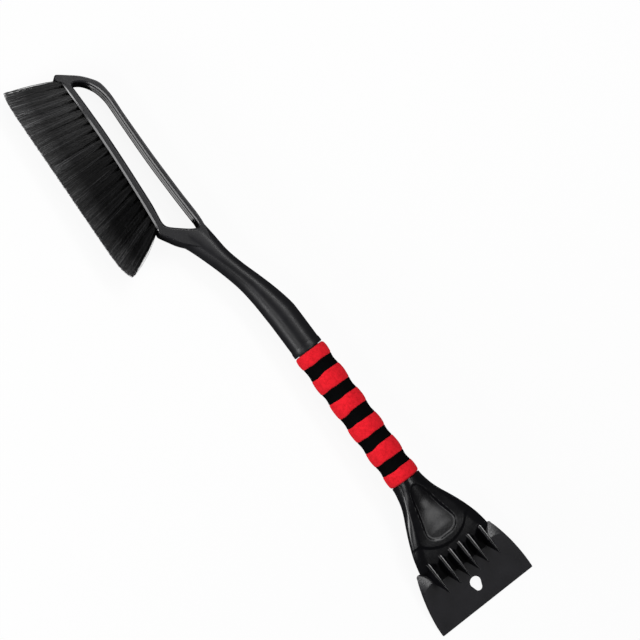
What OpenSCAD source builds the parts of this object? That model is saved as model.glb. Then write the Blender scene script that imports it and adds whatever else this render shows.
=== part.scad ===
// Snow brush and ice scraper: a bristle brush in a D-shaped frame, a long
// neck, a banded foam grip and a scraper head with ice-breaking claws.
// Drawn about the axis of the grip: +X from brush to blade, +Z up, bristles
// towards -Y, 0 at the brush end of the grip. place() lays the tool on the table.

/* [Grip] */
// Length of a red ring inside the grip
red_len = 16.4; // [14:0.1:19]
// Length of the red ring at each end of the grip
end_len = 13.7; // [11:0.1:16]
// Length of a black ring
black_len = 12.3; // [10:0.1:15]
// Radius over the red bulges
bulge_r = 16.7; // [16:0.1:18]
// Radius in the black waists
waist_r = 15.1; // [14.5:0.1:15.6]
// Outer radius of the tube under the foam
tube_r = 11; // [10:0.5:12]
// Wall of the tube
tube_wall = 1.2; // [1:0.1:2]

/* [Brush] */
// Depth of the brush frame, across the rows of bristles
frame_depth = 25; // [22:0.5:28]
// Rounding of the frame's edges
frame_edge_r = 1.2; // [0.6:0.1:1.6]
// Tufts in a row
tuft_count = 20; // [16:1:20]
// Distance between tufts at their roots
tuft_pitch = 8.7; // [7.6:0.1:8.7]
// How much wider the bristles are at their tips than at their roots
fan = 1.24; // [1.14:0.01:1.25]
// Thickness of a strand at its root
strand_t = 1.1; // [0.8:0.1:1.2]

/* [Scraper] */
// Width of the blade at its edge
blade_w = 112; // [108:1:118]
// Thickness of the blade
blade_t = 3; // [2.5:0.1:3.5]
// Downward slope of the blade
blade_slope = 15; // [12:0.5:16]
// Length of the blade in front of the body, along its slope
blade_reach = 61.5; // [57:0.5:65]
// Width of the crest of a claw
claw_crest = 2.6; // [2:0.1:3]
// Height of the claw tips over the axis of the grip
claw_tip_z = 4.8; // [4.2:0.1:6]

/* [Hidden] */
$fn = 64;

gap = 0.05;                       // play between pieces that seat in each other
black_count = 5;                  // black rings; a red one lies either side of each
last_ring = 2 * black_count;
grip_len = 2 * end_len + (black_count - 1) * red_len + black_count * black_len;
spigot_r = tube_r - tube_wall - gap;
spigot_len = 30;                  // how far the neck and the head reach into the tube
pin_r = 2;
pin_in = 14;                      // from each end of the grip to its pin

// ---- curves and skins -------------------------------------------------------

// One point of the smooth curve through a, b, c and d, between b and c
function between(a, b, c, d, u) =
    b + u / 2 * (c - a + u * (2 * a - 5 * b + 4 * c - d + u * (3 * (b - c) + d - a)));

// Smooth open curve through rows of numbers, with some steps from row to row
function smooth(rows, steps) = let (last = len(rows) - 1) [
    for (i = [0:last - 1], k = [0:steps - 1])
        between(rows[max(i - 1, 0)], rows[i], rows[i + 1], rows[min(i + 2, last)], k / steps),
    rows[last]];

// Smooth closed curve through rows of numbers
function smooth_loop(rows, steps) = let (n = len(rows)) [
    for (i = [0:n - 1], k = [0:steps - 1])
        between(rows[(i + n - 1) % n], rows[i], rows[(i + 1) % n], rows[(i + 2) % n], k / steps)];

// Triangles between ring i and the ring after it, of n points each
function band(i, next, n) = [
    for (k = [0:n - 1]) let (a = i * n + k, b = i * n + (k + 1) % n,
        c = next * n + k, d = next * n + (k + 1) % n)
        each [[a, c, b], [b, c, d]]];

// Closed solid through rings with equal counts, capped at both ends. Each ring
// runs anticlockwise, seen with the next ring nearer the eye.
module skin(rings) {
    n = len(rings[0]);
    m = len(rings);
    polyhedron(
        points = [for (ring = rings) each ring],
        faces = concat([[for (k = [0:n - 1]) k]],
            [for (i = [0:m - 2]) each band(i, i + 1, n)],
            [[for (k = [n - 1:-1:0]) (m - 1) * n + k]]));
}

// The same with the last ring joined back to the first
module loop_skin(rings) {
    m = len(rings);
    polyhedron(
        points = [for (ring = rings) each ring],
        faces = [for (i = [0:m - 1]) each band(i, (i + 1) % m, len(rings[0]))]);
}

module along_x(x, r, h) {
    translate([x, 0, 0]) rotate([0, 90, 0]) cylinder(r = r, h = h);
}

// ---- brush ------------------------------------------------------------------

half_depth = frame_depth / 2;
row_count = 4;                    // one for each bristle_row in NODES
row_pitch = (frame_depth - 1) / row_count;
strip_h = row_pitch - 1;          // height and depth of a row's backing strip
strip_d = 3;
lip = 0.8;                        // lip round the face that the bristles leave
lip_x0 = -345;                    // the bristle bar is straight up to here
lip_y0 = -40.2;                   // its front edge there
lip_bend = 2800;                  // twice the radius that it bends with
bar_x1 = -347;                    // the ends of the strips in the bristle bar
bar_x2 = -177;
bar_mid = (bar_x1 + bar_x2) / 2;
fan_x = -264.5;                   // where the bristles stand square to the bar

function lip_y(x) = lip_y0 - pow(max(x - lip_x0, 0), 2) / lip_bend;
function row_z(row) = (row - (row_count + 1) / 2) * row_pitch;

// The frame as a bar bent into a loop: outer edge x and y, window edge x and y,
// along the back, round the arch and the tip, along the lip and up the throat
bar_rows = concat([[-141, -14, -158.5, -15.2], [-154, -10.8, -162.5, -14.6],
    [-168, -9.6, -168, -14.8], [-190, -10.1, -190, -15.3], [-214, -10.3, -214, -15.5],
    [-238, -10.3, -238, -15.4], [-262, -9.8, -262, -14.7], [-286, -9.1, -286, -13.8],
    [-300, -8.3, -299, -13.2], [-311, -8.2, -309, -13.2], [-323.5, -10, -319, -15],
    [-332.5, -15.6, -326.5, -18.3], [-340, -22.4, -332.5, -22.6], [-346.5, -30.5, -336, -27],
    [-352.6, -38.6, -337.5, -30.6], [-353.4, -41, -337, -32.4], [-351.6, -43.2, -335.6, -33.3],
    [-348.6, -43, -333.6, -33.6]],
    [for (p = [[-345.6, -331, -33.6], [-332, -323, -33.6], [-310, -304, -33.8],
        [-285, -285, -34.2], [-262, -262, -35.3], [-238, -238, -36.8], [-218, -219, -38.2],
        [-200, -200, -39.7], [-188, -188, -41.4], [-178, -181.5, -42.3]])
        [p[0], lip_y(p[0]), p[1], p[2]]],
    [[-174.2, -50.8, -177.6, -42], [-171.6, -50.4, -174.4, -40.6], [-163, -45.6, -171, -37.3],
    [-154, -40, -166.5, -32], [-143, -30, -161, -25.2], [-137, -22, -158, -20.4],
    [-137, -17, -157, -17.2]]);

// Section of the bar: a rectangle with rounded corners from edge to edge
function bar_ring(row) = let (
    outer = [row[0], row[1]],
    across = [row[2], row[3]] - outer,
    r = frame_edge_r,
    corners = [[norm(across) - r, r - half_depth], [norm(across) - r, half_depth - r],
        [r, half_depth - r], [r, r - half_depth]])
    [for (q = [0:3], a = [-90, -45, 0])
        let (at = corners[q] + r * [cos(a + 90 * q), sin(a + 90 * q)],
            p = outer + across / norm(across) * at.x)
        [p.x, p.y, at.y]];

// Neck: x, centre y, half width, half height, squareness of the section
neck_rows = [[-172, -27.5, 15.5, 10.5, 3], [-160, -26, 16.6, 12.4, 3],
    [-144, -21.4, 13.8, 12.9, 2.7], [-124, -17, 11.3, 12.9, 2.3],
    [-105, -11.9, 10.8, 12.9, 2.1], [-86, -6.7, 11.7, 13.2, 2], [-67, -2.9, 13.4, 14, 2],
    [-48, -0.5, 15, 15, 2], [-36, 0, 15.2, 15.2, 2], [-5, 0, 15.2, 15.2, 2]];

function neck_ring(row, count) = [
    for (k = [0:count - 1])
        let (a = 360 * k / count, c = cos(a), s = sin(a), e = 2 / row[4])
        [row[0], row[1] + row[2] * sign(c) * pow(abs(c), e),
            row[3] * sign(s) * pow(abs(s), e)]];

// Where the neck stops short of the window
throat = [[-176, -44], [-170.8, -39.4], [-157.1, -22.6], [-155.2, -18.6], [-155.6, -14.9],
    [-158.6, -13], [-176, -13]];

// Band that follows the lip, from depth d1 to d2 behind it
module lip_band(x1, x2, d1, d2) {
    xs = [for (k = [0:12]) x1 + (x2 - x1) * k / 12];
    polygon(concat([for (x = xs) [x, lip_y(x) + d1]],
        [for (k = [12:-1:0]) [xs[k], lip_y(xs[k]) + d2]]));
}

module at_height(z, h) {
    translate([0, 0, z - h / 2]) linear_extrude(h) children();
}

module pin_bore(x) {
    translate([x, 0, 0]) cylinder(r = pin_r + gap, h = 3 * tube_r, center = true);
}

module brush_frame() {
    groove_h = 5.4;               // two grooves lighten the inner side of the bar
    groove_z = 4.3;
    collar_x = -6;
    seat_d = lip + strip_d + 0.6; // leaves room for the anchors behind a strip
    bar = smooth_loop(bar_rows, 2);
    color([0.13, 0.13, 0.14]) difference() {
        union() {
            loop_skin([for (row = bar) bar_ring(row)]);
            difference() {
                skin([for (row = smooth(neck_rows, 2)) neck_ring(row, 28)]);
                at_height(0, 2 * frame_depth) polygon(throat);
            }
            // Collar against the foam, with its lip, and the spigot in the tube
            along_x(collar_x, 15.7, 4.4);
            along_x(collar_x, tube_r, -collar_x);
            along_x(collar_x, spigot_r, spigot_len - collar_x);
        }
        for (z = [-groove_z, groove_z])
            at_height(z, groove_h) translate([-1, 1.5]) polygon([for (b = bar) [b[2], b[3]]]);
        // Face that the bristles leave, and the seats of the strips
        at_height(0, frame_depth - 2 * lip) lip_band(bar_x1, bar_x2, -2, lip);
        for (row = [1:row_count])
            at_height(row_z(row), strip_h) lip_band(bar_x1, bar_x2, 0, seat_d);
        pin_bore(pin_in);
    }
}

// The ends of the strands are staggered by this fixed scatter
function scatter(i) = sin(i * 137.5);

function root_x(tuft) = bar_mid + tuft_pitch * (tuft - (tuft_count - 1) / 2);

// Tip of strand i along the row and k across it, in a tuft: the strands spread
// until neighbouring tufts meet at their tips
function strand_tip(row, tuft, i, k) = let (
    end_y = -96.9,                // line of the tips under the middle of the fan
    end_slope = -0.042,
    half_fan = 104,
    x = fan_x + fan * (root_x(tuft) + i * tuft_pitch / 3 - fan_x),
    corner = 3.4 * pow(abs(x - fan_x) / half_fan, 12),
    stagger = 0.7 * scatter(tuft * 6 + i * 2 + k + row * 31))
    [x, end_y + end_slope * (x - fan_x) + corner + stagger, row_z(row) * 1.08 + k * row_pitch / 2];

// Straight four-sided strand from root to tip
module strand(root, tip) {
    h = strand_t / 2;
    t = h * 0.8;
    corners = [[1, 0], [0, 1], [-1, 0], [0, -1]];
    skin([[for (c = corners) root + [c.x * h, 0, c.y * h]],
        [for (c = corners) tip + [c.x * t, 0, c.y * t]]]);
}

// One row of tufts on its backing strip; each tuft has 3 by 2 strands
module bristle_row(row) {
    root_step = 1.45;
    color([0.2, 0.2, 0.21]) {
        at_height(row_z(row), strip_h - 2 * gap)
            lip_band(bar_x1 + gap, bar_x2 - gap, lip, lip + strip_d - gap);
        for (tuft = [0:tuft_count - 1], i = [-1:1], k = [-0.5, 0.5]) {
            x = root_x(tuft);
            strand([x + i * root_step, lip_y(x) + lip + 1, row_z(row) + k * root_step],
                strand_tip(row, tuft, i, k));
        }
    }
}

// Flat staples that hold the tufts, one behind each, on the backing strips
module tuft_anchors() {
    staple = [2.6, 0.35, 1.6];
    color([0.7, 0.7, 0.68])
    for (row = [1:row_count], tuft = [0:tuft_count - 1]) {
        x = root_x(tuft);
        translate([x - staple.x / 2, lip_y(x) + lip + strip_d, row_z(row) - staple.z / 2])
            cube(staple);
    }
}

// ---- grip -------------------------------------------------------------------

module handle_tube() {
    color([0.6, 0.6, 0.62]) difference() {
        along_x(gap, tube_r, grip_len - 2 * gap);
        along_x(-1, tube_r - tube_wall, grip_len + 2);
        pin_bore(pin_in);
        pin_bore(grip_len - pin_in);
    }
}

// Pin through the tube and the spigot in it, sunk just under the foam
module cross_pin(x) {
    color([0.7, 0.7, 0.7]) translate([x, 0, 0])
        cylinder(r = pin_r, h = 2 * (tube_r - 0.3), center = true);
}

function ring_len(i) = i == 0 || i == last_ring ? end_len : i % 2 == 0 ? red_len : black_len;
function ring_x(i) = i == 0 ? 0 : ring_x(i - 1) + ring_len(i - 1);

// Foam ring i, counted from 0 at the brush end: even ones are red and bulge,
// odd ones are black and waisted. The grip's two ends are rounded over.
module foam_ring(i) {
    len_i = ring_len(i);
    joint_r = (bulge_r + waist_r) / 2;
    bow = i % 2 == 0 ? bulge_r - joint_r : waist_r - joint_r;
    end_drop = i == 0 || i == last_ring ? 1.4 : 0;
    profile = [for (k = [0:12])
        let (u = k / 12, out = i == 0 ? 1 - u : u)
        [joint_r + bow * sin(180 * u) - end_drop * pow(out, 9),
            gap / 2 + u * (len_i - gap)]];
    color(i % 2 == 0 ? [0.85, 0.12, 0.16] : [0.03, 0.03, 0.03])
    translate([ring_x(i), 0, 0]) rotate([0, 90, 0]) rotate_extrude()
        polygon(concat([[tube_r + gap, gap / 2]], profile, [[tube_r + gap, len_i - gap / 2]]));
}

// ---- scraper, from 0 at the end of the grip ----------------------------------

bend_x = 10.5;                    // the head bends down from here to the blade
blade_x0 = 85.5;                  // where the blade leaves the body
bend_r = (blade_x0 - bend_x) / sin(blade_slope);
blade_z0 = bend_r * (cos(blade_slope) - 1) - 3;
edge_t = 0.8;                     // thickness left at the edge of the blade
front_x = 81.5;                   // front edge of the body's top, between claws
foot_x = 100.5;                   // where the front wall meets the blade
claw_ys = [-31.4, -17, -5.6, 5.6, 17, 31.4];
post_r = 2.5;                     // posts that key the blade's tongue
post_ys = [-18, 18];
post_x = -15;
tongue_w = 60;

// Height of the bent middle surface of the head, and of the top of the blade
function mid_z(x) = x < bend_x ? 0
    : x < blade_x0 ? sqrt(bend_r * bend_r - pow(x - bend_x, 2)) - bend_r
    : bend_r * (cos(blade_slope) - 1) - (x - blade_x0) * tan(blade_slope);
function blade_top(x) = blade_z0 - (x - blade_x0) * tan(blade_slope);

// Body: x, half width of the top, greatest half width and its height, rise of
// the top, fall of the crease, drop of the underside and its squareness
body_rows = [[0.6, 10.9, 15.6, 0, 15.6, 4.6, 15.4, 2], [5.5, 11.6, 16, 0, 15.3, 4.5, 15.2, 2],
    [12.5, 13.4, 17.4, 0, 14.3, 4.4, 14.4, 2], [19.5, 16, 19.3, 0.3, 13.3, 4.2, 13.4, 2.1],
    [27.5, 18.8, 22.6, 0.5, 12.1, 3.8, 12.2, 2.2], [36.5, 21.4, 27, 0.6, 11, 3.2, 11.2, 2.4],
    [46.5, 24.3, 31.5, 0.6, 10, 2.6, 10.4, 2.6], [56.5, 27.1, 35.4, 0.5, 9.2, 2, 9.8, 2.9],
    [67.5, 30, 38.9, 0.3, 8.5, 1.4, 9.4, 3.2], [front_x, 33.6, 41.6, 0, 7.8, 1, 9.2, 3.5]];
front_rows = [[84, 33.6, 40.4, -1.5], [87.5, 33.4, 37.2, -3.5], [92.5, 33, 35.2, -4.5],
    [foot_x, 32.2, 33.4, -5]];

// Where the wall between the claws starts to fall: scooped out between them
function brink(y) = front_x + 1.5 - 3 * pow(sin(180 * (y - 11.3) / 11.4), 2);

function top_z(row, y) = let (x = row[0], flat = mid_z(x) + row[4] - row[5] * pow(y / row[1], 2),
    u = min(max((x - brink(y)) / (foot_x - brink(y)), 0), 1))
    flat + (blade_top(x) - flat) * (1 - pow(1 - u, 1.8));

// Ring round the body at one row: over the top, down the flank, under and back
function body_ring(row) = let (
    w1 = row[1], w2 = row[2], zm = mid_z(row[0]) + row[3],
    crease = top_z(row, w1),
    turn = [w2, zm + 0.58 * (crease - zm)],
    flank = [for (k = [1:4]) let (u = k / 4)
        [w1, crease] * (1 - u) * (1 - u) + turn * 2 * u * (1 - u) + [w2, zm] * u * u],
    under = [for (k = [1:7]) let (a = 90 * k / 7, e = 2 / row[7])
        [w2 * pow(cos(a), e), zm - (row[6] + row[3]) * pow(sin(a), e)]],
    right = concat(flank, under),
    n = len(right),
    top = [for (k = [12:-1:-12]) [row[0], w1 * k / 12, top_z(row, w1 * k / 12)]])
    concat(top, [for (k = [0:n - 2]) [row[0], -right[k].x, right[k].y]],
        [for (k = [n - 1:-1:0]) [row[0], right[k].x, right[k].y]]);

// Front wall rows keep the heights of the last row of the body
function front_row(f) = let (r = body_rows[len(body_rows) - 1])
    [f[0], f[1], f[2], f[3], r[4], r[5], r[6], r[7]];

// Claw: x, height and half width of the crest, height and half width of the foot
function claw_rows() = let (h = claw_crest / 2, tip_x = 111.5) [
    [77.1, mid_z(77.1) + 7.2, h * 0.7, mid_z(77.1), 3],
    [78.9, 0.7, h, mid_z(78.9) - 2, 4],
    [86.5, 1.9, h, blade_top(86.5) + gap, 4.2],
    [94, 3, h * 0.9, blade_top(94) + gap, 3.4],
    [99.5, 3.5, h * 0.65, blade_top(99.5) + gap, 2.4],
    [105, 4.1, h * 0.4, -5.6, 1.5],
    [tip_x, claw_tip_z, 0.15, claw_tip_z - 0.5, 0.2]];

module claw(y) {
    skin([for (r = claw_rows())
        let (zs = [r[1], r[1] - 0.35 * r[2], r[1] - 1.3 * r[2], r[3]],
            ws = [0.45 * r[2], 0.85 * r[2], r[2] + 0.12 * (r[4] - r[2]), r[4]])
        concat([for (k = [3:-1:0]) [r[0], y + ws[k], zs[k]]],
            [for (k = [0:3]) [r[0], y - ws[k], zs[k]]])]);
}

// Places its children in the plane of the blade, x down the slope
module on_blade() {
    translate([blade_x0, 0, blade_z0]) rotate([0, blade_slope, 0]) children();
}

// Teardrop recess in the top: half width along x, from the narrow end
recess_rows = [[6.1, 1.5], [7.9, 4.2], [12.5, 7.1], [20.5, 9.5], [35.5, 12.8], [45.5, 15.4],
    [53.5, 17.1], [59, 16.2], [63.5, 12.4], [66.1, 6.5]];

// Solid that follows the recess and goes from a depth under the top to above it
module recess_tool(depth, draft) {
    edge = smooth([for (r = body_rows) [r[0], mid_z(r[0]) + r[4], r[5] / pow(r[1], 2)]], 6);
    middle = [for (e = edge) [e[0], e[1]]];
    camber = [for (e = edge) [e[0], e[2]]];
    skin([for (r = smooth(recess_rows, 2))
        let (x = r[0], w = r[1], z = lookup(x, middle), c = lookup(x, camber))
        concat([[x, -w - draft, z + 4]],
            [for (k = [-4:4]) let (y = (w - draft) * k / 4) [x, y, z - c * y * y - depth]],
            [[x, w + draft, z + 4]])]);
}

module scraper_body() {
    color([0.09, 0.09, 0.1]) translate([grip_len, 0, 0]) {
        difference() {
            union() {
                skin([for (row = concat(smooth(body_rows, 2), [for (f = front_rows) front_row(f)]))
                    body_ring(row)]);
                for (y = claw_ys) claw(y);
                along_x(0, tube_r, 4);
                along_x(-spigot_len, spigot_r, spigot_len + 4);
            }
            recess_tool(1.5, 0.8);
            // Seat of the blade, and the slot for its tongue
            on_blade() translate([-1.5, -70, -30]) cube([40, 140, 30]);
            on_blade() translate([-28, -tongue_w / 2 - gap, -blade_t - gap])
                cube([30, tongue_w + 2 * gap, blade_t + gap]);
            pin_bore(-pin_in);
        }
        for (y = post_ys) on_blade() translate([post_x, y, -blade_t - 1])
            cylinder(r = post_r, h = blade_t + 2);
    }
}

// Blade outline: a tongue, rounded ears, swept sides and a straight edge
function blade_side(x) = blade_w / 2 - 9.8 * pow(1 - x / blade_reach, 2);
function blade_half() = let (ear_x = 0.6, ear_w = blade_side(ear_x)) concat(
    [[-1.4, ear_w - 4.1], [-0.9, ear_w - 2.1], [ear_x, ear_w - 0.6]],
    [for (k = [1:8]) let (x = ear_x + (blade_reach - ear_x) * k / 8) [x, blade_side(x)]]);

module blade_outline() {
    half = blade_half();
    n = len(half);
    tongue = [[-26, tongue_w / 2], [-1.4, tongue_w / 2]];
    polygon(concat(tongue, half, [for (k = [n - 1:-1:0]) [half[k].x, -half[k].y]],
        [for (k = [1, 0]) [tongue[k].x, -tongue[k].y]]));
}

// Egg-shaped hole to hang the tool by: two circles and the strip between them
module hang_hole() {
    big = 5.7;
    small = 3.1;
    step = 6.6;
    lean = acos((big - small) / step);
    c = [cos(lean), sin(lean)];
    translate([blade_reach - 24.2, 0]) {
        circle(r = big);
        translate([step, 0]) circle(r = small);
        polygon([c * big, c * small + [step, 0], [c.x * small + step, -c.y * small],
            [c.x * big, -c.y * big]]);
    }
}

module scraper_blade() {
    bevel_len = 10;
    bevel = atan((blade_t - edge_t) / bevel_len);
    color([0.2, 0.2, 0.21]) translate([grip_len, 0, 0]) on_blade() difference() {
        translate([0, 0, -blade_t]) linear_extrude(blade_t) difference() {
            blade_outline();
            hang_hole();
            for (y = post_ys) translate([post_x, y]) circle(r = post_r + gap);
        }
        // Bevel under the edge
        translate([blade_reach - bevel_len, -70, -blade_t]) rotate([0, -bevel, 0])
            translate([0, 0, -5]) cube([20, 140, 5]);
        // The ears fall away behind a rounded crest
        for (s = [1, -1]) difference() {
            translate([-3, s * 47 - 16, -blade_t - 1]) cube([26, 32, blade_t + 2]);
            translate([25, s * 37.5, -10]) cylinder(r1 = 48, r2 = 14, h = 10);
            translate([-3, s > 0 ? -1 : -41.5, -10]) cube([30, 42.5, 20]);
        }
    }
}

// ---- how the tool lies -------------------------------------------------------

// The tip of the brush frame and the edge of the blade touch the table
tip_x = bar_rows[15][0];
edge_x = grip_len + blade_x0 + blade_reach * cos(blade_slope);
edge_z = blade_z0 - blade_reach * sin(blade_slope) - edge_t * cos(blade_slope);
lie = asin((-half_depth - edge_z) / (edge_x - tip_x));
rest_z = edge_z * cos(lie) + edge_x * sin(lie);

// Middle of the tool, from the strand tips to the far side of the blade
tips = [for (row = [1:row_count], tuft = [0:tuft_count - 1], i = [-1:1], k = [-0.5, 0.5])
    strand_tip(row, tuft, i, k)];
brush_x = min([for (p = tips) p.x * cos(lie) - p.z * sin(lie)]) - 0.4 * strand_t;
middle_x = (brush_x + edge_x * cos(lie) - (edge_z + edge_t) * sin(lie)) / 2;
middle_y = (min([for (p = tips) p.y]) + blade_w / 2) / 2;

module place() {
    translate([-middle_x, -middle_y, -rest_z]) rotate([0, -lie, 0]) children();
}

place() brush_frame();
for (row = [1:row_count]) place() bristle_row(row);
place() tuft_anchors();
place() handle_tube();
place() cross_pin(pin_in);  // neck_pin
place() cross_pin(grip_len - pin_in);  // head_pin
for (i = [0:last_ring]) place() foam_ring(i);
place() scraper_body();
place() scraper_blade();
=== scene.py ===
import logging
import math
from dataclasses import dataclass
from enum import Enum
from typing import Callable, Iterable, Sequence

import bmesh
import bpy
import numpy as np
from mathutils import Matrix, Vector, noise
from mathutils.geometry import tessellate_polygon


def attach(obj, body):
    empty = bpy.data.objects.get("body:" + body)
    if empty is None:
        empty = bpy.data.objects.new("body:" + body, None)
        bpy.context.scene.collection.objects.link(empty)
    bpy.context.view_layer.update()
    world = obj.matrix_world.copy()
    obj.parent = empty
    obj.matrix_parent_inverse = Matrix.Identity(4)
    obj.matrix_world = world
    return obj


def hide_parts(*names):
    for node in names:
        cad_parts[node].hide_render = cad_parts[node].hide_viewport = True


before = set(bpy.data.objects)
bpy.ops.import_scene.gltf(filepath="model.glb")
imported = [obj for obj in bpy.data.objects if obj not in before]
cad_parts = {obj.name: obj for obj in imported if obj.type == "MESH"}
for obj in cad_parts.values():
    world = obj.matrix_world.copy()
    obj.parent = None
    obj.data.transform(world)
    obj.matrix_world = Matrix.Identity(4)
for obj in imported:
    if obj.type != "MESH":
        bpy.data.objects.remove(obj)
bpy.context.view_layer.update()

log = logging.getLogger("snow_brush")

Row = Sequence[float]
Colour = tuple[float, float, float]
Place = Callable[[np.ndarray], np.ndarray]
Obj = bpy.types.Object
Material = bpy.types.Material
Socket = bpy.types.NodeSocket


# ---- the tool's own frame


@dataclass(frozen=True)
class Lie:
    """How the tool lies: from millimetres about the grip's axis to the row frame."""

    tilt_deg: float = 1.4978596
    rest_mm: float = -21.7276339
    middle_x_mm: float = -34.0178526
    middle_y_mm: float = -22.422645

    def turn(self, vectors: np.ndarray) -> np.ndarray:
        """Turns directions from the tool's frame to the row frame.

        Args:
            vectors: One direction, or an array of them, along its last axis.

        Returns:
            The same directions in the row frame.
        """
        v = np.asarray(vectors, float)
        x, y, z = v[..., 0], v[..., 1], v[..., 2]
        c, s = math.cos(math.radians(self.tilt_deg)), math.sin(math.radians(self.tilt_deg))
        return np.stack([x * c - z * s, y, x * s + z * c], -1)

    def from_row(self, points: np.ndarray) -> np.ndarray:
        """Moves points from the shared frame, in metres, back to the tool's frame."""
        return (self.turn(np.eye(3)) @ (points - self.to_row(np.zeros((1, 3)))).T).T * 1000

    def to_row(self, points: np.ndarray) -> np.ndarray:
        """Places points of the tool, in millimetres, in the row frame, in metres."""
        shift = np.array([self.middle_x_mm, self.middle_y_mm, self.rest_mm])
        return (self.turn(points) - shift) / 1000


LIE = Lie()

# Sizes that several pieces share, in millimetres
GRIP_LEN = 154.5
ROW_GAP = 6
SPIGOT_R = 9.75
SPIGOT_LEN = 30
CORE_R = 11
PIN_INSET = 14
PIN_BORE_R = 2.05
POST_X = -15
POST_YS = (-18, 18)
POLE_R = 0.02  # what an open profile narrows to at its ends


# ---- curves, skins and solids


def smooth(rows: Sequence[Row], steps: int, closed: bool = False) -> np.ndarray:
    """Draws a smooth curve through rows of numbers.

    Args:
        rows: The rows that the curve passes through.
        steps: How many steps lie between one row and the next.
        closed: Whether the last row joins the first.

    Returns:
        One row of numbers for each point of the curve.
    """
    p = np.asarray(rows, float)
    n = len(p)
    out = []
    for i in range(n if closed else n - 1):
        picks = [i - 1, i, i + 1, i + 2]
        a, b, c, d = (p[k % n] if closed else p[min(max(k, 0), n - 1)] for k in picks)
        for k in range(steps):
            u = k / steps
            bend = 2 * a - 5 * b + 4 * c - d + u * (3 * (b - c) + d - a)
            out.append(b + u / 2 * (c - a + u * bend))
    if not closed:
        out.append(p[-1])
    return np.array(out)


def ease(low: float, high: float, x: np.ndarray) -> np.ndarray:
    """Goes smoothly from 0 at low to 1 at high."""
    u = np.clip((np.asarray(x, float) - low) / (high - low), 0, 1)
    return u * u * (3 - 2 * u)


def arc(centre: Row, r: float, start: float, end: float, steps: int) -> list[tuple[float, float]]:
    """Returns the points of an arc, its angles in degrees."""
    turns = [math.radians(a) for a in np.linspace(start, end, steps + 1)]
    return [(centre[0] + r * math.cos(a), centre[1] + r * math.sin(a)) for a in turns]


def circle(x: float, y: float, r: float) -> np.ndarray:
    """Returns the outline of a round hole or post."""
    return np.array(arc((x, y), r, 0, 352.5, 47))


def linked(name: str, data: bpy.types.ID) -> Obj:
    """Makes an object with its data and links it to the scene."""
    obj = bpy.data.objects.new(name, data)
    bpy.context.scene.collection.objects.link(obj)
    return obj


def hung(name: str, data: bpy.types.ID, columns: Sequence[np.ndarray]) -> Obj:
    """Places a camera or lamp by its right, its up, its back and its place.

    Args:
        name: Its name.
        data: Its data.
        columns: The three directions and the place, in the row frame.

    Returns:
        The new object.
    """
    obj = linked(name, data)
    turn = np.eye(4)
    turn[:3] = np.array(columns).T
    obj.matrix_world = Matrix(turn.tolist())
    return obj


def make_object(name: str, points: np.ndarray, faces: list[list[int]]) -> Obj:
    """Makes a closed mesh of the tool, its faces turned outwards.

    Args:
        name: The piece's name.
        points: Its points, in millimetres in the tool's frame.
        faces: Lists of point numbers.

    Returns:
        The new object, at the origin, with its place in its mesh.
    """
    mesh = bpy.data.meshes.new(name)
    mesh.from_pydata([tuple(p) for p in LIE.to_row(points)], [], faces)
    bm = bmesh.new()
    bm.from_mesh(mesh)
    bmesh.ops.remove_doubles(bm, verts=bm.verts, dist=2e-6)
    bmesh.ops.recalc_face_normals(bm, faces=bm.faces)
    bm.to_mesh(mesh)
    bm.free()
    return linked(name, mesh)


def loft(name: str, rings: np.ndarray, closed: bool = False) -> Obj:
    """Skins rings of equal counts, with a cap at each end or closed in a loop.

    Args:
        name: The piece's name.
        rings: Array of rings, points of a ring, and coordinates.
        closed: Whether the last ring joins the first.

    Returns:
        The new object.
    """
    m, n = rings.shape[:2]
    faces = []
    for i in range(m if closed else m - 1):
        a, b = i * n, ((i + 1) % m) * n
        faces += [[a + k, a + (k + 1) % n, b + (k + 1) % n, b + k] for k in range(n)]
    if not closed:
        faces += [list(range(n))[::-1], [(m - 1) * n + k for k in range(n)]]
    return make_object(name, rings.reshape(-1, 3), faces)


def revolve(name: str, profile: Sequence[tuple[float, float]], steps: int = 96) -> Obj:
    """Turns a profile of x and radius about the grip's axis, with a cap at each end."""
    turns = np.linspace(0, 2 * math.pi, steps, endpoint=False)
    return loft(name, np.array([[(x, r * math.cos(t), r * math.sin(t)) for t in turns] for x, r in profile]))


def prism(name: str, outlines: Sequence[np.ndarray], low: float, high: float,
          place: Place = np.asarray) -> Obj:
    """Extrudes an outline, with holes if more outlines are given.

    Args:
        name: The piece's name.
        outlines: The outline and its holes, as arrays of x and y.
        low: Height of its lower side.
        high: Height of its upper side.
        place: Function that places the points in the tool's frame.

    Returns:
        The new object.
    """
    flat = np.concatenate([np.asarray(o, float) for o in outlines])
    n = len(flat)
    points = np.concatenate([np.c_[flat, np.full(n, low)], np.c_[flat, np.full(n, high)]])
    tris = tessellate_polygon([[Vector((x, y, 0)) for x, y in o] for o in outlines])
    faces = [list(t)[::-1] for t in tris] + [[k + n for k in t] for t in tris]
    start = 0
    for o in outlines:
        m = len(o)
        faces += [[start + k, start + (k + 1) % m, start + (k + 1) % m + n, start + k + n]
                  for k in range(m)]
        start += m
    return make_object(name, place(points), faces)


def block(name: str, low: Row, high: Row, place: Place) -> Obj:
    """Makes a box between two corners."""
    (x0, y0, z0), (x1, y1, z1) = low, high
    return prism(name, [np.array([[x0, y0], [x1, y0], [x1, y1], [x0, y1]])], z0, z1, place)


def bake(obj: Obj) -> None:
    """Turns an object's modifiers into its own mesh."""
    bpy.context.view_layer.update()
    graph = bpy.context.evaluated_depsgraph_get()
    mesh = bpy.data.meshes.new_from_object(obj.evaluated_get(graph))
    old = obj.data
    obj.modifiers.clear()
    obj.data = mesh
    bpy.data.meshes.remove(old)


class Cut(Enum):
    """What a tool does to the solid it meets."""

    TAKE = "DIFFERENCE"
    ADD = "UNION"


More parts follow.
